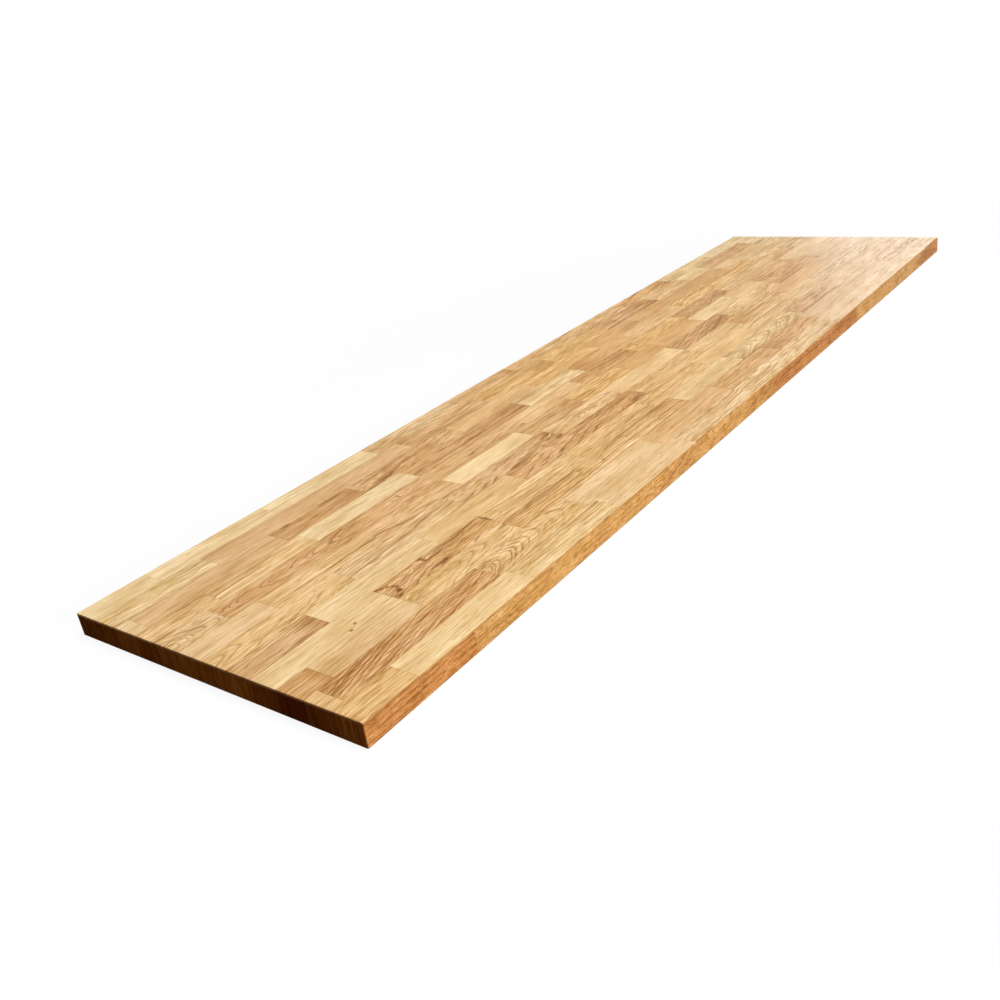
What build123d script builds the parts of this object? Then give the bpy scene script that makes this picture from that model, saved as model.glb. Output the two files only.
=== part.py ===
from build123d import *
import os

# Veneered worktop: a particleboard core, lipped all round with oak strips, faced with a thick
# veneer of oak staves and balanced by a thin sheet underneath. Millimetres, +Z up.
# X runs along the board and Y across it. The origin is under the middle of the underside.

# Overall size
board_length = 2400.0
board_width = 620.0
board_thickness = 40.0

# Layers
face_thickness = 3.5
backing_thickness = 1.2
edging_thickness = 4.0

# Eased edges
corner_radius = 2.5
arris_radius = 2.0
lower_arris = 0.5

# Staves of the face, row by row from the front edge (-Y) to the back edge (+Y).
# Each list holds the lengths of a row's staves, laid end to end from the left end (-X). The
# first and last stave keep theirs, and those between are as long as it takes to fill the row.
row_count = 12
stave_lengths = [
    [107, 265, 250, 271, 259, 258, 200, 210, 255, 210, 115],
    [24, 336, 247, 260, 288, 250, 227, 276, 232, 260],
    [55, 189, 253, 213, 365, 253, 337, 230, 217, 288],
    [244, 259, 267, 263, 249, 243, 250, 175, 333, 117],
    [152, 253, 250, 437, 263, 207, 258, 275, 177, 128],
    [262, 275, 311, 227, 283, 262, 285, 278, 217],
    [148, 232, 217, 231, 187, 197, 163, 193, 197, 150, 223, 192, 70],
    [97, 283, 210, 285, 230, 223, 252, 242, 296, 152, 130],
    [128, 204, 265, 364, 217, 240, 254, 193, 260, 275],
    [25, 288, 195, 292, 262, 266, 207, 253, 240, 272, 100],
    [205, 250, 250, 250, 263, 242, 253, 190, 127, 285, 85],
    [128, 255, 270, 269, 220, 248, 250, 245, 265, 250],
]

# Pieces of the long edgings, laid in the same way
front_edging_lengths = [225, 510, 510, 490, 500, 165]
back_edging_lengths = [430, 505, 495, 510, 460]

# Sizes and places that follow from the ones above
row_width = board_width / row_count
face_bottom = board_thickness - face_thickness
core_length = board_length - 2 * edging_thickness
core_width = board_width - 2 * edging_thickness
core_height = face_bottom - backing_thickness
left_end = -board_length / 2
front_edge = -board_width / 2
arris = min(arris_radius, 0.8 * corner_radius, 0.6 * face_thickness)

os.makedirs("parts", exist_ok=True)


def lay_pieces(lengths):
    """Start and end of each piece of a run: the inner ones stretch to fill the board."""
    first, *inner, last = lengths
    stretch = (board_length - first - last) / sum(inner)
    spans = []
    start = left_end
    for length in [first] + [stretch * length for length in inner] + [last]:
        spans.append((start, start + length))
        start += length
    return spans


def odd_and_even(spans):
    """Two sets of pieces that don't touch: the first, third, fifth... and those between."""
    return {"odd": spans[0::2], "even": spans[1::2]}


def save(builder, name):
    """Label a finished piece, or set of pieces, and write its file."""
    builder.part.label = name
    export_step(builder.part, f"parts/{name}.step")


# Core board
with BuildPart() as core_board:
    with BuildSketch(Plane.XY.offset(backing_thickness)):
        Rectangle(core_length, core_width)
    extrude(amount=core_height)
save(core_board, "core_board")

# Backing sheet, with its lower arris taken off
with BuildPart() as backing_sheet:
    with BuildSketch():
        RectangleRounded(board_length, board_width, corner_radius)
    extrude(amount=backing_thickness)
    underside = backing_sheet.faces().sort_by(Axis.Z)[0]
    chamfer(underside.edges(), min(lower_arris, 0.6 * backing_thickness))
save(backing_sheet, "backing_sheet")

# Face: each set of staves is cut from a layer whose upper arris is eased all round
for row in range(row_count):
    row_centre = front_edge + (row + 0.5) * row_width
    row_spans = lay_pieces(stave_lengths[row % len(stave_lengths)])
    for set_name, spans in odd_and_even(row_spans).items():
        with BuildPart() as staves:
            with BuildSketch(Plane.XY.offset(face_bottom)):
                RectangleRounded(board_length, board_width, corner_radius)
            extrude(amount=face_thickness)
            fillet(staves.faces().sort_by(Axis.Z)[-1].edges(), arris)
            with BuildSketch(Plane.XY.offset(face_bottom)):
                for start, end in spans:
                    with Locations(((start + end) / 2, row_centre)):
                        Rectangle(end - start, row_width)
            extrude(amount=face_thickness, mode=Mode.INTERSECT)
        save(staves, f"stave_row_{row + 1:02d}_{set_name}")

# Long edgings, which run past the end edgings to the rounded corners
strip_offset = (board_width - edging_thickness) / 2
long_edgings = {
    "front_edging": (-strip_offset, front_edging_lengths),
    "back_edging": (strip_offset, back_edging_lengths),
}
for edging_name, (strip_centre, lengths) in long_edgings.items():
    for set_name, spans in odd_and_even(lay_pieces(lengths)).items():
        with BuildPart() as long_edging:
            with BuildSketch(Plane.XY.offset(backing_thickness)):
                RectangleRounded(board_length, board_width, corner_radius)
            extrude(amount=core_height)
            with BuildSketch(Plane.XY.offset(backing_thickness)):
                for start, end in spans:
                    with Locations(((start + end) / 2, strip_centre)):
                        Rectangle(end - start, edging_thickness)
            extrude(amount=core_height, mode=Mode.INTERSECT)
        save(long_edging, f"{edging_name}_{set_name}")

# End edgings: a block for each row, the outer two narrower by the long edging beside them
row_edges = [front_edge + row * row_width for row in range(row_count + 1)]
row_edges[0] += edging_thickness
row_edges[-1] -= edging_thickness
block_spans = list(zip(row_edges, row_edges[1:]))
end_offset = (board_length - edging_thickness) / 2
for edging_name, strip_centre in {"left_edging": -end_offset, "right_edging": end_offset}.items():
    for set_name, spans in odd_and_even(block_spans).items():
        with BuildPart() as end_edging:
            with BuildSketch(Plane.XY.offset(backing_thickness)):
                for start, end in spans:
                    with Locations((strip_centre, (start + end) / 2)):
                        Rectangle(edging_thickness, end - start)
            extrude(amount=core_height)
        save(end_edging, f"{edging_name}_{set_name}")
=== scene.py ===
from math import radians

import bpy
from mathutils import Euler, Matrix, Vector


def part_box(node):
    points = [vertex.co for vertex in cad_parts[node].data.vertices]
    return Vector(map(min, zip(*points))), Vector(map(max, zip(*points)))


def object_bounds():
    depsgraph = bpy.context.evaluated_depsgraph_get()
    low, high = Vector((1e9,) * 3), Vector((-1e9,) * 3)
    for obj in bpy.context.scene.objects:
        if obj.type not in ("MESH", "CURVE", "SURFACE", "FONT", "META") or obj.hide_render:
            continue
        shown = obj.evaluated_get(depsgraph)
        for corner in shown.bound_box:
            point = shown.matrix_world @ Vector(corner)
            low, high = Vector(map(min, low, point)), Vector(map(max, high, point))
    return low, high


bl_info = {
    "name": "Veneered oak worktop",
    "version": (1, 0, 0),
    "blender": (4, 5, 0),
    "location": "View3D > Sidebar > Worktop",
    "description": "Finishes a stave-faced, lipped worktop and lights it on a pale floor",
    "category": "Object",
}

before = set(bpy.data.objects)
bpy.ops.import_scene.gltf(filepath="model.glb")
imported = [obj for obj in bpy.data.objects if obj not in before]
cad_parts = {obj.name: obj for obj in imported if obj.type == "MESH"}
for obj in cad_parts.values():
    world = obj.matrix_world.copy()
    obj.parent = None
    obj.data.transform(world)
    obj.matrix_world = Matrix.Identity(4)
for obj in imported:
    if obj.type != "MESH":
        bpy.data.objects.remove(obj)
MODEL_BOX = [list(corner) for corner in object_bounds()]

# Places and sizes are in metres
ROW_NAMES = [f"stave_row_{row:02d}" for row in range(1, 13)]
MOST_PIECES = 16
SEAM_REACH = 0.0004
RING_SPACING = 0.0085
ARCH_DEPTH = 0.009

# How far the grain wanders sideways along a piece of full swirl, and the small jag on top of that
GRAIN_WANDER = 0.034
GRAIN_JAG = 0.0055

# How a piece was cut from the log: arch of its rings, strength of its lines, swirl and lean
CUTS = {
    "calm": (0.0, 0.10, 0.20, 0.50),
    "plain": (0.0, 0.35, 0.25, 0.50),
    "lined": (0.0, 0.80, 0.25, 0.50),
    "streaked": (0.0, 1.00, 0.25, 0.50),
    "rising": (0.0, 0.85, 0.35, 0.44),
    "falling": (0.0, 0.85, 0.35, 0.56),
    "steep": (0.1, 1.00, 0.45, 0.36),
    "arched": (1.0, 0.80, 0.35, 0.66),
    "peaked": (1.0, 0.85, 0.35, 0.34),
    "chevron": (1.0, 0.95, 0.45, 0.80),
    "wild": (0.3, 1.00, 1.00, 0.42),
    "swirled": (0.8, 0.65, 0.90, 0.60),
}

# A piece may darken towards its right end, at dusk, or towards its left end, at dawn
ENDS = {"even": 0.5, "dusk": 1.0, "dawn": 0.0}

# The staves of each row, from the front row to the back one and from the left end to the right
# Ash and fawn staves lie only at the right end of the front rows, the far front corner, where their darker,
# greyer tone is partly their own and partly painted shade of that corner
ROW_STAVES = [
    "honey lined, cream plain, pale lined, blush plain, blush lined, blush streaked, blush lined, "
    "ash plain, ash calm, ash calm, ash plain",
    "straw plain, brown steep, straw chevron, blush plain, tan plain, tan lined, umber rising dawn, "
    "fawn plain, fawn calm, fawn lined",
    "umber lined dusk, blush plain, straw swirled, honey streaked, honey lined dusk, pale plain, "
    "pale arched, rose streaked dawn, fawn calm, fawn plain",
    "pale plain, tan wild, straw falling, honey lined, honey lined, honey calm, straw lined, "
    "blush plain, ash lined, ash calm",
    "rose rising dusk, pale plain, straw plain, brown wild dusk, honey falling, straw plain, "
    "honey lined dawn, tan calm, fawn plain, ash calm",
    "straw swirled, blush rising, rose wild dusk, straw arched, straw calm, umber steep, "
    "straw arched, brown streaked, ash plain",
    "blush plain, straw lined, tan peaked, cream calm, tan lined dusk, gold streaked, caramel calm, "
    "caramel calm, cream plain, honey calm, tan lined, blush calm, milk plain",
    "blush chevron, brown peaked, brown rising, tan lined, honey plain, caramel falling dusk, "
    "gold arched, umber wild, straw lined, honey lined, blush streaked",
    "straw lined, straw lined, milk plain, brown lined dusk, cream lined, caramel plain dawn, honey plain, "
    "gold steep, gold lined, straw lined",
    "milk plain, rose plain, umber rising dusk, tan wild, honey plain, gold lined, caramel plain, "
    "caramel plain, caramel plain, straw plain, pale streaked",
    "cream lined, rose plain, rose plain, tan lined, gold lined dusk, gold lined, brown streaked dusk, "
    "straw lined, cream calm, tan lined, milk plain",
    "milk calm, milk plain, milk plain, blush lined dawn, honey lined dusk, honey streaked, honey steep, "
    "gold steep dusk, cream lined, milk plain",
]
# The last front piece is copper partly for its own tone and partly as painted shade of the far front corner
FRONT_EDGING = "rust lined, amber lined, amber rising dusk, copper lined dusk, amber arched, copper lined"
BACK_EDGING = "amber lined, rust falling, amber lined, rust lined, amber rising"
END_BLOCKS = ("russet lined, bark rising, char lined, bark lined, russet rising, russet lined, "
              "russet falling, russet lined, bark rising, russet lined, bark falling, bark lined")

# Marks in the staves by row: x, y, half length, half width and depth, which is below 0 where they are pale
FLECKS = {
    2: ((-0.016, -0.217, 0.005, 0.004, 0.6),),
    3: ((-0.427, -0.186, 0.004, 0.005, 0.8), (-0.520, -0.196, 0.150, 0.0018, 0.8),
        (-0.560, -0.168, 0.120, 0.0016, 0.6), (-0.710, -0.163, 0.014, 0.006, 0.5)),
    4: ((-1.050, -0.148, 0.0042, 0.0028, 1.6), (-1.034, -0.140, 0.0038, 0.0028, 1.6),
        (-0.952, -0.104, 0.006, 0.005, 0.9), (-0.945, -0.111, 0.006, 0.005, 0.9),
        (-0.938, -0.118, 0.006, 0.005, 0.9), (-0.932, -0.125, 0.006, 0.005, 0.9),
        (-0.930, -0.133, 0.006, 0.005, 0.9), (-0.936, -0.141, 0.007, 0.005, 0.9),
        (-0.947, -0.150, 0.008, 0.004, 0.9), (-0.851, -0.106, 0.010, 0.005, 1.1),
        (-0.850, -0.115, 0.005, 0.007, 1.0), (-0.825, -0.120, 0.026, 0.003, 0.9),
        (-0.780, -0.113, 0.034, 0.003, 0.9), (-0.740, -0.107, 0.028, 0.0025, 0.8),
        (-0.843, -0.151, 0.024, 0.004, 1.2), (-0.698, -0.120, 0.0035, 0.022, 0.9)),
    5: ((-0.280, -0.055, 0.060, 0.004, 0.6), (-0.140, -0.092, 0.030, 0.006, 0.7)),
    6: ((-0.360, -0.044, 0.016, 0.008, 0.8),),
    8: ((-0.685, 0.084, 0.003, 0.009, 0.8), (-0.485, 0.070, 0.014, 0.0035, 0.9)),
    9: ((-0.997, 0.1075, 0.140, 0.0025, -1.0), (0.096, 0.153, 0.035, 0.004, 0.7)),
    10: ((-0.850, 0.203, 0.014, 0.006, 0.7), (-0.735, 0.204, 0.036, 0.005, 0.8)),
}

# Tints of the slow drift and of the fine fibre, from darkest to lightest, and the colour of a pale streak
DRIFT_TINTS = ((0.87, 0.82, 0.70, 1.0), (1.10, 1.15, 1.24, 1.0))
FIBRE_TINTS = ((0.70, 0.59, 0.31, 1.0), (1.28, 1.43, 1.84, 1.0))
PALE_STREAK = (0.86, 0.65, 0.32, 1.0)

# What multiplies the oak's colour where each of these is at its strongest
DARKENING = {
    "Rings": (0.52, 0.39, 0.27, 1.0),
    "Pores": (0.62, 0.48, 0.28, 1.0),
    # End Grain darkens faces cut across the grain, partly as real end grain and partly as painted shade of
    # the board's ends
    "End Grain And Shade": (0.33, 0.20, 0.09, 1.0),
    # Side darkens faces turned sideways to the grain, which is painted shade of the sides
    "Side": (0.85, 0.73, 0.61, 1.0),
    "Shade": (0.86, 0.79, 0.68, 1.0),
    "Marks": (0.45, 0.32, 0.22, 1.0),
    "Seam": (0.45, 0.30, 0.18, 1.0),
}
SEAM_STRENGTH = 0.45

# Colours of the core's chips and of the floor as its light spreads
CHIP_COLOURS = ((0.60, 0.42, 0.22, 1.0), (0.36, 0.22, 0.10, 1.0))
FLOOR_SPREAD = (0.16, 0.16, 0.16, 1.0)
WHITE = (1.0, 1.0, 1.0, 1.0)

# The lamps: place, target, and width and height
LAMPS = {
    "key softbox": ((-0.5, -0.9, 5.8), (0.0, 0.0, 0.0), (3.6, 3.6)),
    "top softbox": ((-1.0, 0.25, 1.9), (-1.0, 0.25, 0.0), (1.5, 1.5)),
    "front softbox": ((-0.45, -3.5, 0.8), (-0.45, 0.0, 0.0), (3.4, 1.6)),
    "window": ((8.0, 1.0, 2.0), (1.0, -0.1, 0.0), (3.0, 2.1)),
}
FLOOR_SIZE = 60.0
SENSOR_WIDTH = 36.0

FLOAT, VECTOR, COLOUR = "NodeSocketFloat", "NodeSocketVector", "NodeSocketColor"


# Words and places

def linear(colour):
    """A colour as it looks on screen, as linear light."""
    return [c / 12.92 if c <= 0.04045 else ((c + 0.055) / 1.055) ** 2.4 for c in colour]


def tone_colour(tone):
    """A tone's colour from the settings, as linear light."""
    return linear(getattr(bpy.context.scene.worktop_tones, tone))


def read_pieces(words):
    """Turns "tan plain, cream lined dusk" into a tone, a cut and an end for each piece."""
    pieces = [piece.split() for piece in words.split(",")]
    return [(piece + ["even"])[:3] for piece in pieces]


def spans_of(prefix, axis):
    """Lowest and highest place along an axis of each piece of a run that two nodes share, in order."""
    spans = []
    for name in (f"{prefix}_odd", f"{prefix}_even"):
        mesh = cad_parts[name].data
        edges = sorted(sorted(mesh.vertices[v].co[axis] for v in edge.vertices) for edge in mesh.edges)
        merged = [edges[0]]
        for low, high in edges:
            if low > merged[-1][1] + SEAM_REACH:
                merged.append([low, high])
            merged[-1][1] = max(merged[-1][1], high)
        spans += merged
    return sorted(spans)


# Shader nodes

def put_links(tree, node, inputs):
    """Sets or links a node's inputs."""
    for key, value in inputs.items():
        if isinstance(value, bpy.types.NodeSocket):
            tree.links.new(value, node.inputs[key])
        else:
            node.inputs[key].default_value = value


def put(tree, kind, inputs=None, **settings):
    """Adds a shader node, with its settings and the values or links of its inputs."""
    node = tree.nodes.new(kind)
    for key, value in settings.items():
        setattr(node, key, value)
    put_links(tree, node, inputs or {})
    return node


def sum_of(tree, operation, *values):
    """Output of a Math node on these values."""
    return put(tree, "ShaderNodeMath", dict(enumerate(values)), operation=operation).outputs[0]


def moved(tree, operation, *values):
    """Output vector of a Vector Math node on these values."""
    return put(tree, "ShaderNodeVectorMath", dict(enumerate(values)), operation=operation).outputs[0]


def blend(tree, mode, factor, first, second):
    """Output of a colour Mix node."""
    return put(tree, "ShaderNodeMix", {0: factor, 6: first, 7: second},
               data_type="RGBA", blend_type=mode).outputs[2]


def span(tree, value, from_low, from_high, to_low=0.0, to_high=1.0, smooth=False):
    """Output of a clamped Map Range node."""
    return put(tree, "ShaderNodeMapRange", {0: value, 1: from_low, 2: from_high, 3: to_low, 4: to_high},
               interpolation_type="SMOOTHSTEP" if smooth else "LINEAR").outputs[0]


def centred(tree, value, width):
    """A value of 0 to 1 moved to run from minus to plus half a width."""
    return sum_of(tree, "MULTIPLY", sum_of(tree, "SUBTRACT", value, 0.5), width)


def noise(tree, vector, along, across, detail=2.0, roughness=0.5):
    """Noise drawn out along X, with these many turns a metre along and across."""
    drawn_out = moved(tree, "MULTIPLY", vector, (along, across, across))
    return put(tree, "ShaderNodeTexNoise",
               {"Vector": drawn_out, "Scale": 1.0, "Detail": detail, "Roughness": roughness}).outputs[0]


def new_group(name, inputs, outputs):
    """A shader node group with named sockets. Returns it with its inputs and its output node's sockets."""
    group = bpy.data.node_groups.new(name, "ShaderNodeTree")
    for socket_name, kind in inputs:
        group.interface.new_socket(socket_name, in_out="INPUT", socket_type=kind)
    for socket_name, kind in outputs:
        group.interface.new_socket(socket_name, in_out="OUTPUT", socket_type=kind)
    return group, group.nodes.new("NodeGroupInput").outputs, group.nodes.new("NodeGroupOutput")


def make_joint_group():
    """One joint of a run: moves on to the next piece beyond it and marks its thin seam."""
    group, given, out = new_group("Joint",
        [("Place", FLOAT), ("Joint", FLOAT), ("Piece Before", FLOAT), ("Growth", FLOAT),
         ("Count", FLOAT), ("Start", FLOAT), ("Length", FLOAT), ("Seam", FLOAT)],
        [("Count", FLOAT), ("Start", FLOAT), ("Length", FLOAT), ("Seam", FLOAT)])
    passed = sum_of(group, "GREATER_THAN", given["Place"], given["Joint"])
    near = sum_of(group, "COMPARE", given["Place"], given["Joint"], SEAM_REACH)
    put_links(group, out, {
        "Count": sum_of(group, "ADD", given["Count"], passed),
        "Start": sum_of(group, "MULTIPLY_ADD", passed, given["Piece Before"], given["Start"]),
        "Length": sum_of(group, "MULTIPLY_ADD", passed, given["Growth"], given["Length"]),
        "Seam": sum_of(group, "MAXIMUM", given["Seam"], near),
    })
    return group


def make_fleck_group():
    """One soft mark, such as a pin knot or a dark streak, added to the marks before it."""
    group, given, out = new_group("Fleck",
        [("Position", VECTOR), ("Centre", VECTOR), ("Reach", VECTOR), ("Depth", FLOAT), ("Marks", FLOAT)],
        [("Marks", FLOAT)])
    offset = moved(group, "SUBTRACT", given["Position"], given["Centre"])
    offset = moved(group, "DIVIDE", offset, given["Reach"])
    distance = put(group, "ShaderNodeVectorMath", {0: offset}, operation="LENGTH").outputs["Value"]
    mark = sum_of(group, "MULTIPLY", span(group, distance, 1.1, 0.4, smooth=True), given["Depth"])
    put_links(group, out, {"Marks": sum_of(group, "ADD", given["Marks"], mark)})
    return group


def make_figure_group():
    """Rings, fibres, pores and drift of one piece of oak, with its grain along X and its middle at Y = 0."""
    group, given, out = new_group("Oak figure",
        [("Position", VECTOR), ("Seed", FLOAT), ("Arch", FLOAT), ("Swirl", FLOAT), ("Lean", FLOAT)],
        [("Rings", FLOAT), ("Fibre", FLOAT), ("Pores", FLOAT), ("Drift", FLOAT), ("Bent Position", VECTOR)])
    seeds = put(group, "ShaderNodeTexWhiteNoise", {"W": given["Seed"]},
                noise_dimensions="1D").outputs["Color"]
    away = moved(group, "MULTIPLY", seeds, (37.0, 23.0, 11.0))
    place = moved(group, "ADD", given["Position"], away)
    chance = put(group, "ShaderNodeSeparateColor", {0: seeds}).outputs

    # The grain wanders sideways along the piece, with a small jag on top
    wander = centred(group, noise(group, place, 6.0, 18.0, 4.0, 0.6), GRAIN_WANDER)
    jag = centred(group, noise(group, place, 55.0, 140.0), GRAIN_JAG)
    aside = sum_of(group, "ADD", sum_of(group, "MULTIPLY", wander, given["Swirl"]),
                   sum_of(group, "MULTIPLY", jag, sum_of(group, "ADD", given["Swirl"], 0.3)))
    sideways = put(group, "ShaderNodeCombineXYZ", {"Y": aside}).outputs[0]
    bent = moved(group, "ADD", given["Position"], sideways)
    bent_parts = put(group, "ShaderNodeSeparateXYZ", {0: bent}).outputs
    across = bent_parts["Y"]

    # A flat cut through tapered rings gives arches, and a straight one gives lines
    side = sum_of(group, "ADD", across, centred(group, chance["Red"], 0.02))
    cone = sum_of(group, "SQRT", sum_of(group, "MULTIPLY_ADD", side, side, ARCH_DEPTH ** 2))
    level = put(group, "ShaderNodeMix", {0: given["Arch"], 2: across, 3: cone}, data_type="FLOAT").outputs[0]
    level = sum_of(group, "MULTIPLY_ADD", bent_parts["X"], centred(group, given["Lean"], 1.6), level)
    level = sum_of(group, "MULTIPLY_ADD", chance["Blue"], 3.0, level)
    uneven = put(group, "ShaderNodeTexNoise", {"W": level, "Scale": 60.0, "Detail": 1.0},
                 noise_dimensions="1D").outputs[0]
    turns = sum_of(group, "MULTIPLY_ADD", uneven, 3.0, sum_of(group, "DIVIDE", level, RING_SPACING))
    part = sum_of(group, "FRACT", turns)
    ring = sum_of(group, "MULTIPLY", span(group, part, 0.0, 0.08), span(group, part, 0.10, 0.45, 1.0, 0.0))
    patches = span(group, noise(group, place, 6.0, 50.0), 0.36, 0.58, 0.1, 1.0, smooth=True)
    rings = sum_of(group, "MULTIPLY", ring, patches)

    grain = moved(group, "ADD", bent, away)
    streaks = noise(group, grain, 3.0, 65.0, 5.0, 0.75)
    threads = noise(group, grain, 25.0, 440.0, 2.0, 0.7)
    dashes = span(group, noise(group, grain, 24.0, 560.0, 1.0), 0.52, 0.66, smooth=True)
    dashes = sum_of(group, "MULTIPLY", dashes, span(group, rings, 0.0, 0.7, 0.5, 1.0))
    crossing = sum_of(group, "ABSOLUTE", centred(group, noise(group, grain, 9.0, 150.0, 1.0), 1.0))
    hairs = span(group, crossing, 0.05, 0.0, smooth=True)
    put_links(group, out, {
        "Rings": rings,
        "Fibre": sum_of(group, "MULTIPLY_ADD", threads, 0.72, sum_of(group, "MULTIPLY", streaks, 0.40)),
        "Pores": sum_of(group, "MAXIMUM", hairs, dashes),
        "Drift": noise(group, place, 8.0, 26.0, 3.0),
        "Bent Position": bent,
    })
    return group


def make_finish_group():
    """Colour, roughness and height of satin oak from its tone and its figure."""
    group, given, out = new_group("Satin oak",
        [("Tone", COLOUR), ("Lines", FLOAT), ("Rings", FLOAT), ("Fibre", FLOAT), ("Pores", FLOAT),
         ("Drift", FLOAT), ("Shade", FLOAT), ("Marks", FLOAT), ("Seam", FLOAT), ("End Grain And Shade", FLOAT),
         ("Side", FLOAT)],
        [("Colour", COLOUR), ("Roughness", FLOAT), ("Height", FLOAT)])
    drift = blend(group, "MIX", span(group, given["Drift"], 0.3, 0.7), *DRIFT_TINTS)

    # The stronger a piece's lines, the livelier its fibre and the more open its pores
    liveliness = sum_of(group, "MULTIPLY_ADD", sum_of(group, "POWER", given["Lines"], 2.0), 0.82, 0.44)
    fibre = centred(group, sum_of(group, "SUBTRACT", given["Fibre"], 0.06), 2.75)
    fibre = blend(group, "MIX", sum_of(group, "MULTIPLY_ADD", fibre, liveliness, 0.5), *FIBRE_TINTS)
    open_pores = sum_of(group, "MULTIPLY_ADD", given["Lines"], 0.6, 0.22)

    colour = blend(group, "MULTIPLY", 1.0, blend(group, "MULTIPLY", 1.0, given["Tone"], drift), fibre)
    amounts = {name: given[name] for name in DARKENING}
    amounts["Rings"] = sum_of(group, "MULTIPLY", given["Rings"], given["Lines"])
    amounts["Pores"] = sum_of(group, "MULTIPLY", given["Pores"], open_pores)
    amounts["Seam"] = sum_of(group, "MULTIPLY", given["Seam"], SEAM_STRENGTH)
    # The End Grain darkening is partly real end grain and partly painted shade of the board's ends
    # The Side darkening is painted shade of the sides
    for name, dark in DARKENING.items():
        colour = blend(group, "MULTIPLY", amounts[name], colour, dark)
    colour = blend(group, "MIX", span(group, given["Marks"], 0.0, -1.0), colour, PALE_STREAK)
    sunk = sum_of(group, "MULTIPLY_ADD", given["Pores"], 0.6, given["Seam"])
    satin = span(group, given["Fibre"], 0.3, 0.7, 0.28, 0.36)
    put_links(group, out, {
        "Colour": colour,
        "Roughness": sum_of(group, "MULTIPLY_ADD", given["Pores"], 0.15, satin),
        "Height": sum_of(group, "SUBTRACT", sum_of(group, "MULTIPLY", given["Fibre"], 0.4), sunk),
    })
    return group


def shared_group(name):
    """A shared node group, made the first time it is asked for."""
    makers = {"Joint": make_joint_group, "Fleck": make_fleck_group, "Oak figure": make_figure_group,
              "Satin oak": make_finish_group}
    return bpy.data.node_groups.get(name) or makers[name]()


def new_material(name):
    """An empty node material."""
    material = bpy.data.materials.new(name)
    material.use_nodes = True
    material.node_tree.nodes.clear()
    return material


def steps_of(tree, count, colours):
    """A ramp that gives each piece of a run its own colour by its number."""
    place = sum_of(tree, "MULTIPLY_ADD", count, 1 / MOST_PIECES, 0.5 / MOST_PIECES)
    ramp = put(tree, "ShaderNodeValToRGB", {0: place})
    ramp.color_ramp.interpolation = "CONSTANT"
    points = ramp.color_ramp.elements
    points.remove(points[1])
    for number, colour in enumerate(colours):
        point = points[0] if number == 0 else points.new(number / MOST_PIECES)
        point.color = colour
    return ramp.outputs


def count_pieces(tree, place, spans):
    """Number, start, length and seams of the piece of a run that a place lies in."""
    run = {"Count": 0.0, "Start": spans[0][0], "Length": spans[0][1] - spans[0][0], "Seam": 0.0}
    for before, after in zip(spans, spans[1:]):
        length, next_length = before[1] - before[0], after[1] - after[0]
        joint = put(tree, "ShaderNodeGroup", node_tree=shared_group("Joint"))
        put_links(tree, joint, {"Place": place, "Joint": after[0], "Piece Before": after[0] - before[0],
                                "Growth": next_length - length, **run})
        run = {key: joint.outputs[key] for key in run}
    return run


def end_shade(tree, run, place, end):
    """How far a piece darkens towards its right end, where end is near 1, or its left end, near 0."""
    along = sum_of(tree, "DIVIDE", sum_of(tree, "SUBTRACT", place, run["Start"]), run["Length"])
    right = sum_of(tree, "MULTIPLY", span(tree, along, 0.55, 1.0, smooth=True), span(tree, end, 0.5, 1.0))
    left = sum_of(tree, "MULTIPLY", span(tree, along, 0.45, 0.0, smooth=True), span(tree, end, 0.5, 0.0))
    return sum_of(tree, "ADD", right, left)


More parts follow.
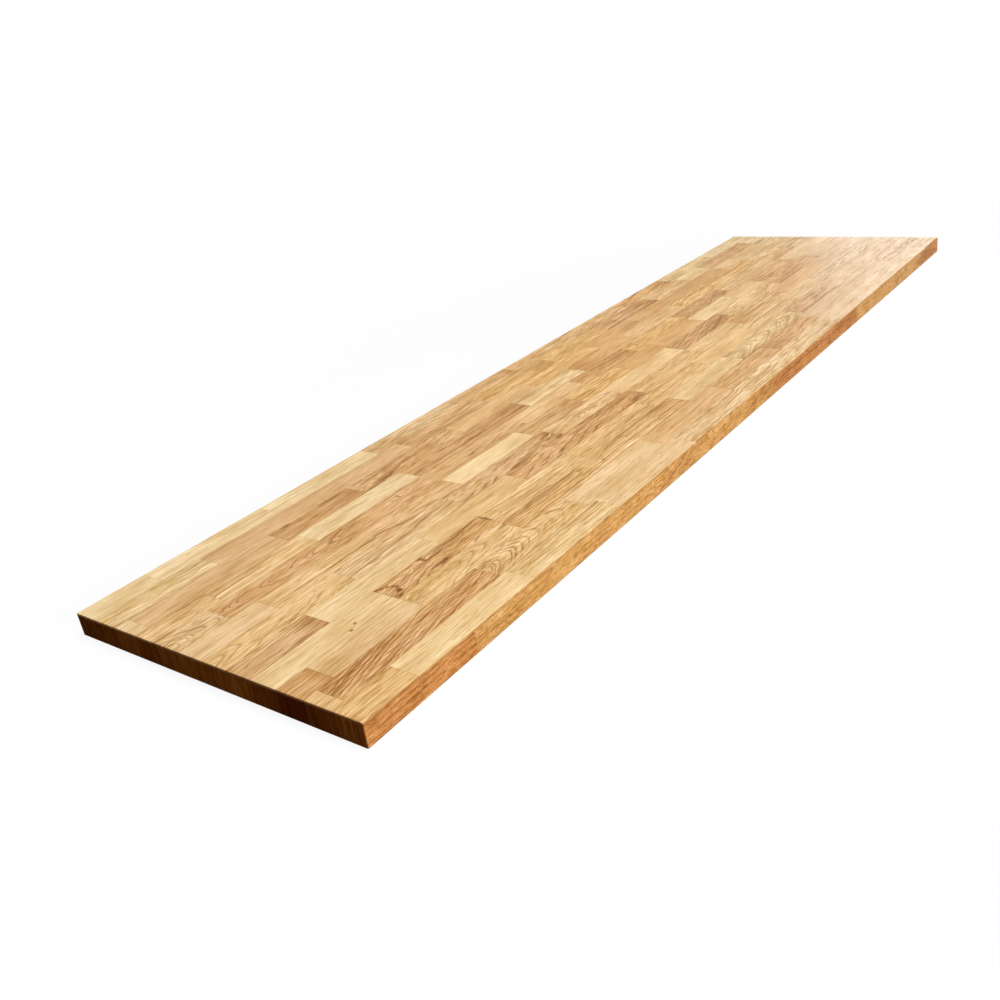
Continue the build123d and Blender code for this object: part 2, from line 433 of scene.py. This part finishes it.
def oak_material(name, words, spans, along, turned, centre=(0.0, 0.0, 0.0), seed=0, seams=(), flecks=(),
                 gloss=0.03, shortened=1.0):
    """Material of a run of oak pieces that follow each other along one axis.

    turned names the axes that lie along the grain, across it and through it, seams holds
    an axis and a place for each joint beside the run, and shortened draws the grain together.
    """
    pieces = read_pieces(words)
    if len(pieces) != len(spans):
        raise RuntimeError(f"{name}: {len(pieces)} words for {len(spans)} pieces")
    material = new_material(name)
    tree = material.node_tree
    coordinates = put(tree, "ShaderNodeTexCoord").outputs
    position = coordinates["Object"]
    facing = put(tree, "ShaderNodeSeparateXYZ", {0: coordinates["Normal"]}).outputs
    # Faces cut across the grain get darker, partly as real end grain and partly as painted shade of the ends
    # Faces turned sideways to the grain get darker as painted shade of the sides
    end_grain_and_shade, side = [span(tree, sum_of(tree, "ABSOLUTE", facing[axis]), 0.4, 0.8, smooth=True)
                       for axis in turned[:2]]
    parts = put(tree, "ShaderNodeSeparateXYZ", {0: position}).outputs
    run = count_pieces(tree, parts[along], spans)
    for axis, place in seams:
        near = sum_of(tree, "COMPARE", parts[axis], place, SEAM_REACH)
        run["Seam"] = sum_of(tree, "MAXIMUM", run["Seam"], near)
    tones = steps_of(tree, run["Count"], [tone_colour(tone) + [ENDS[end]] for tone, cut, end in pieces])
    cuts = steps_of(tree, run["Count"], [CUTS[cut] for tone, cut, end in pieces])
    cut = put(tree, "ShaderNodeSeparateColor", {0: cuts[0]}).outputs

    local = put(tree, "ShaderNodeMapping", {"Vector": position, "Location": [-c for c in centre]}).outputs[0]
    axes = put(tree, "ShaderNodeSeparateXYZ", {0: local}).outputs
    grain = put(tree, "ShaderNodeCombineXYZ",
                {number: axes[axis] for number, axis in enumerate(turned)}).outputs[0]
    grain = moved(tree, "MULTIPLY", grain, (shortened, 1.0, 1.0))
    figure = put(tree, "ShaderNodeGroup", node_tree=shared_group("Oak figure"))
    put_links(tree, figure, {"Position": grain, "Seed": sum_of(tree, "ADD", run["Count"], seed + 0.37),
                             "Arch": cut["Red"], "Swirl": cut["Blue"], "Lean": cuts[1]})
    marks = 0.0
    for x, y, half_length, half_width, depth in flecks:
        fleck = put(tree, "ShaderNodeGroup", node_tree=shared_group("Fleck"))
        put_links(tree, fleck, {
            "Position": figure.outputs["Bent Position"], "Centre": (x, y - centre[1], 0.0),
            "Reach": (half_length, half_width, 1.0), "Depth": depth, "Marks": marks})
        marks = fleck.outputs["Marks"]

    oak = put(tree, "ShaderNodeGroup", node_tree=shared_group("Satin oak"))
    put_links(tree, oak, {
        "Tone": tones[0], "Lines": cut["Green"], "Marks": marks, "Seam": run["Seam"],
        "Shade": end_shade(tree, run, parts[along], tones[1]), "End Grain And Shade": end_grain_and_shade, "Side": side})
    put_links(tree, oak, {key: figure.outputs[key] for key in ("Rings", "Fibre", "Pores", "Drift")})
    finish(tree, oak.outputs, gloss)
    return material


def finish(tree, surface, gloss):
    """Ends a material with its bump and its shader."""
    bump = put(tree, "ShaderNodeBump", {"Height": surface["Height"], "Strength": 0.25, "Distance": 0.0004})
    shader = put(tree, "ShaderNodeBsdfPrincipled", {
        "Base Color": surface["Colour"], "Roughness": surface["Roughness"],
        "Normal": bump.outputs[0], "Specular IOR Level": gloss})
    put(tree, "ShaderNodeOutputMaterial", {0: shader.outputs[0]})


def dress(material, *node_names):
    """Gives nodes of the frame their material."""
    for node_name in node_names:
        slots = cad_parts[node_name].data.materials
        slots.clear()
        slots.append(material)


def seen_directly(tree):
    """1 for what the camera sees, also in gloss and through glass, and 0 for light that spreads."""
    path = put(tree, "ShaderNodeLightPath").outputs
    seen = sum_of(tree, "MAXIMUM", path["Is Camera Ray"], path["Is Glossy Ray"])
    return sum_of(tree, "MAXIMUM", seen, path["Is Transmission Ray"])


# Settings

def tone_setting(name, description, *colour):
    """A setting for one tone of oak, as it looks on screen."""
    return bpy.props.FloatVectorProperty(name=name, description=description, subtype="COLOR_GAMMA",
                                         default=[c / 255 for c in colour], min=0.0, max=1.0)


class ToneSettings(bpy.types.PropertyGroup):
    """Tones of the oak."""
    milk: tone_setting("Milk", "Palest sapwood staves", 240, 209, 157)
    cream: tone_setting("Cream", "Pale sapwood staves", 239, 205, 149)
    pale: tone_setting("Pale", "Pale staves", 233, 198, 142)
    straw: tone_setting("Straw", "Light yellow staves", 231, 191, 133)
    honey: tone_setting("Honey", "Mid staves", 230, 187, 128)
    gold: tone_setting("Gold", "Yellow-brown staves", 230, 183, 117)
    blush: tone_setting("Blush", "Pale staves with a little red", 232, 195, 142)
    tan: tone_setting("Tan", "Light brown staves", 222, 176, 119)
    rose: tone_setting("Rose", "Light brown staves with a little red", 221, 178, 125)
    caramel: tone_setting("Caramel", "Brown staves", 219, 169, 108)
    brown: tone_setting("Brown", "Darker brown staves", 218, 170, 114)
    umber: tone_setting("Umber", "Darkest staves", 210, 162, 105)
    # Ash and fawn are laid only in the far front corner, partly as painted shade of that corner
    ash: tone_setting("Ash", "Light brown staves with a little grey", 222, 185, 136)
    fawn: tone_setting("Fawn", "Brown staves with a little grey", 215, 175, 125)
    amber: tone_setting("Amber", "Lighter pieces of the long edgings", 237, 178, 104)
    rust: tone_setting("Rust", "Darker pieces of the long edgings", 231, 160, 92)
    copper: tone_setting("Copper", "Darkest pieces of the long edgings", 221, 150, 84)
    russet: tone_setting("Russet", "Lightest blocks of the end edgings", 160, 91, 31)
    bark: tone_setting("Bark", "Middling blocks of the end edgings", 138, 74, 22)
    char: tone_setting("Char", "Darkest blocks of the end edgings", 111, 46, 13)


class StudioSettings(bpy.types.PropertyGroup):
    """Camera, floor and lamps."""
    camera_place: bpy.props.FloatVectorProperty(
        name="Camera place", description="Where the camera stands", subtype="TRANSLATION", unit="LENGTH",
        default=(-1.856, -1.132, 0.793))
    camera_heading: bpy.props.FloatProperty(
        name="Heading", description="Direction of view, clockwise from +Y", subtype="ANGLE",
        default=radians(49.965))
    camera_pitch: bpy.props.FloatProperty(
        name="Pitch", description="How far the camera looks down", subtype="ANGLE", default=radians(25.221))
    camera_roll: bpy.props.FloatProperty(
        name="Roll", description="Tilt of the picture", subtype="ANGLE", default=radians(-8.931))
    focal_length: bpy.props.FloatProperty(
        name="Focal length", description="Lens, in millimetres on a 36 mm sensor", default=37.19, min=1.0)
    floor_colour: bpy.props.FloatVectorProperty(
        name="Floor", description="Colour of the floor", subtype="COLOR", default=(0.98, 0.98, 0.98))
    sky_strength: bpy.props.FloatProperty(
        name="Fill", description="Soft light from all round", default=0.11, min=0.0)
    key_power: bpy.props.FloatProperty(
        name="Key softbox", description="Power of the big softbox high above the board", unit="POWER",
        default=325.0, min=0.0)
    top_power: bpy.props.FloatProperty(
        name="Top softbox", description="Power of the softbox over the left half", unit="POWER", default=0.5,
        min=0.0)
    front_power: bpy.props.FloatProperty(
        name="Front softbox", description="Power of the low softbox that lights the front edge", unit="POWER",
        default=88.0, min=0.0)
    window_power: bpy.props.FloatProperty(
        name="Window", description="Power of the lamp beyond the right end, which gives the top its glare",
        unit="POWER", default=130.0, min=0.0)


class WORKTOP_OT_finish_face(bpy.types.Operator):
    """Give every row of the face its staves' tones, figure and marks"""
    bl_idname = "worktop.finish_face"
    bl_label = "Finish the face"

    def execute(self, context):
        inside = MODEL_BOX[1][1] - SEAM_REACH
        for row, (name, words) in enumerate(zip(ROW_NAMES, ROW_STAVES), start=1):
            low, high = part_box(f"{name}_odd")
            middle = (0.0, (low[1] + high[1]) / 2, 0.0)
            seams = [("Y", place) for place in (low[1], high[1]) if abs(place) < inside]
            material = oak_material(f"oak_{name}", words, spans_of(name, 0), "X", "XYZ", centre=middle,
                                    seed=20 * row, seams=seams, flecks=FLECKS.get(row, ()))
            dress(material, f"{name}_odd", f"{name}_even")
        return {"FINISHED"}


class WORKTOP_OT_finish_edging(bpy.types.Operator):
    """Give the long edgings their pieces' tones and figure"""
    bl_idname = "worktop.finish_edging"
    bl_label = "Finish the long edgings"

    def execute(self, context):
        for seed, name, words in ((300, "front_edging", FRONT_EDGING), (320, "back_edging", BACK_EDGING)):
            low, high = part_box(f"{name}_odd")
            material = oak_material(f"oak_{name}", words, spans_of(name, 0), "X", "XZY",
                                    centre=(0.0, 0.0, (low[2] + high[2]) / 2), seed=seed,
                                    seams=(("Z", high[2]),), gloss=0.02, shortened=3.0)
            dress(material, f"{name}_odd", f"{name}_even")
        return {"FINISHED"}


class WORKTOP_OT_finish_ends(bpy.types.Operator):
    """Give the end edgings their blocks with upright grain"""
    bl_idname = "worktop.finish_ends"
    bl_label = "Finish the end edgings"

    def execute(self, context):
        for seed, name in ((400, "left_edging"), (420, "right_edging")):
            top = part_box(f"{name}_odd")[1][2]
            material = oak_material(f"oak_{name}", END_BLOCKS, spans_of(name, 1), "Y", "ZYX", seed=seed,
                                    seams=(("Z", top),), gloss=0.0)
            dress(material, f"{name}_odd", f"{name}_even")
        return {"FINISHED"}


class WORKTOP_OT_finish_backing(bpy.types.Operator):
    """Give the backing sheet its plain veneer"""
    bl_idname = "worktop.finish_backing"
    bl_label = "Finish the backing sheet"

    def execute(self, context):
        low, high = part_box("backing_sheet")
        material = oak_material("backing_veneer", "tan arched", [(low[0], high[0])], "X", "XYZ", seed=500)
        dress(material, "backing_sheet")
        return {"FINISHED"}


class WORKTOP_OT_finish_core(bpy.types.Operator):
    """Give the core board the look of pressed chips"""
    bl_idname = "worktop.finish_core"
    bl_label = "Finish the core board"

    def execute(self, context):
        material = new_material("core_chips")
        tree = material.node_tree
        position = put(tree, "ShaderNodeTexCoord").outputs["Object"]
        laid_flat = moved(tree, "MULTIPLY", position, (220.0, 220.0, 800.0))
        chips = put(tree, "ShaderNodeTexVoronoi", {"Vector": laid_flat, "Scale": 1.0}).outputs
        shade = put(tree, "ShaderNodeSeparateColor", {0: chips["Color"]}).outputs["Red"]
        colour = blend(tree, "MIX", shade, *CHIP_COLOURS)
        roughness = span(tree, shade, 0.0, 1.0, 0.7, 0.9)
        finish(tree, {"Colour": colour, "Roughness": roughness, "Height": shade}, 0.2)
        dress(material, "core_board")
        return {"FINISHED"}


class WORKTOP_OT_build_stage(bpy.types.Operator):
    """Build the floor, the lamps, the white surroundings and the camera"""
    bl_idname = "worktop.build_stage"
    bl_label = "Build the stage"

    def execute(self, context):
        studio = context.scene.worktop_studio
        bpy.ops.object.select_all(action="DESELECT")
        bpy.ops.mesh.primitive_plane_add(size=FLOOR_SIZE)
        floor = context.active_object
        floor.name = "floor"
        floor.data.materials.append(self.floor_material(studio))
        self.add_lamp("key softbox", studio.key_power)
        self.add_lamp("top softbox", studio.top_power)
        self.add_lamp("front softbox", studio.front_power)
        window = self.add_lamp("window", studio.window_power)
        window.visible_diffuse = False
        self.light_world(context.scene, studio)
        self.add_camera(context.scene, studio)
        context.scene.view_settings.view_transform = "Standard"
        return {"FINISHED"}

    def floor_material(self, studio):
        """A floor that takes the shadow near the board and is plain white further out."""
        material = new_material("floor")
        tree = material.node_tree
        spread = put(tree, "ShaderNodeBsdfDiffuse", {"Color": FLOOR_SPREAD}).outputs[0]
        shown = put(tree, "ShaderNodeBsdfDiffuse", {"Color": (*studio.floor_colour, 1.0)}).outputs[0]
        white = put(tree, "ShaderNodeEmission", {"Color": WHITE, "Strength": 1.0}).outputs[0]
        place = put(tree, "ShaderNodeTexCoord").outputs["Object"]
        far = put(tree, "ShaderNodeVectorMath", {0: moved(tree, "MULTIPLY", place, (0.7, 1.0, 0.0))},
                  operation="LENGTH").outputs["Value"]
        whiteness = span(tree, far, 0.5, 1.4, 0.78, 1.0, smooth=True)
        plain = put(tree, "ShaderNodeMixShader", {0: whiteness, 1: shown, 2: white}).outputs[0]
        both = put(tree, "ShaderNodeMixShader", {0: seen_directly(tree), 1: spread, 2: plain}).outputs[0]
        put(tree, "ShaderNodeOutputMaterial", {0: both})
        return material

    def add_lamp(self, name, power):
        """Adds a rectangular lamp that faces its target and returns it."""
        place, target, size = LAMPS[name]
        facing = (Vector(target) - Vector(place)).to_track_quat("-Z", "Y").to_euler()
        bpy.ops.object.light_add(type="AREA", location=place, rotation=facing)
        lamp = bpy.context.active_object
        lamp.name = name
        lamp.data.shape = "RECTANGLE"
        lamp.data.size, lamp.data.size_y = size
        lamp.data.energy = power
        return lamp

    def light_world(self, scene, studio):
        """White to the camera and a soft fill to everything else."""
        scene.world = scene.world or bpy.data.worlds.new("studio")
        scene.world.use_nodes = True
        tree = scene.world.node_tree
        background = tree.nodes["Background"]
        strength = span(tree, seen_directly(tree), 0.0, 1.0, studio.sky_strength, 1.0)
        put_links(tree, background, {"Color": WHITE, "Strength": strength})

    def add_camera(self, scene, studio):
        """A camera at the viewpoint of the photograph."""
        bpy.ops.object.camera_add(location=studio.camera_place)
        camera = bpy.context.active_object
        facing = Euler((radians(90) - studio.camera_pitch, 0.0, -studio.camera_heading)).to_matrix()
        camera.rotation_euler = (facing @ Matrix.Rotation(studio.camera_roll, 3, "Z")).to_euler()
        camera.data.lens = studio.focal_length
        camera.data.sensor_width = SENSOR_WIDTH
        scene.camera = camera


class WORKTOP_PT_panel(bpy.types.Panel):
    """Worktop tools"""
    bl_label = "Worktop"
    bl_idname = "WORKTOP_PT_panel"
    bl_space_type = "VIEW_3D"
    bl_region_type = "UI"
    bl_category = "Worktop"

    def draw(self, context):
        for operator in OPERATORS:
            self.layout.operator(operator.bl_idname)
        for settings in (context.scene.worktop_tones, context.scene.worktop_studio):
            for key in settings.__annotations__:
                self.layout.prop(settings, key)


OPERATORS = (WORKTOP_OT_finish_face, WORKTOP_OT_finish_edging, WORKTOP_OT_finish_ends,
             WORKTOP_OT_finish_backing, WORKTOP_OT_finish_core, WORKTOP_OT_build_stage)
CLASSES = (ToneSettings, StudioSettings, *OPERATORS, WORKTOP_PT_panel)


def register():
    for cls in CLASSES:
        bpy.utils.register_class(cls)
    bpy.types.Scene.worktop_tones = bpy.props.PointerProperty(type=ToneSettings)
    bpy.types.Scene.worktop_studio = bpy.props.PointerProperty(type=StudioSettings)


def unregister():
    del bpy.types.Scene.worktop_studio
    del bpy.types.Scene.worktop_tones
    for cls in reversed(CLASSES):
        bpy.utils.unregister_class(cls)


def main():
    register()
    bpy.ops.worktop.finish_face()
    bpy.ops.worktop.finish_edging()
    bpy.ops.worktop.finish_ends()
    bpy.ops.worktop.finish_backing()
    bpy.ops.worktop.finish_core()
    bpy.ops.worktop.build_stage()


if __name__ == "__main__":
    main()
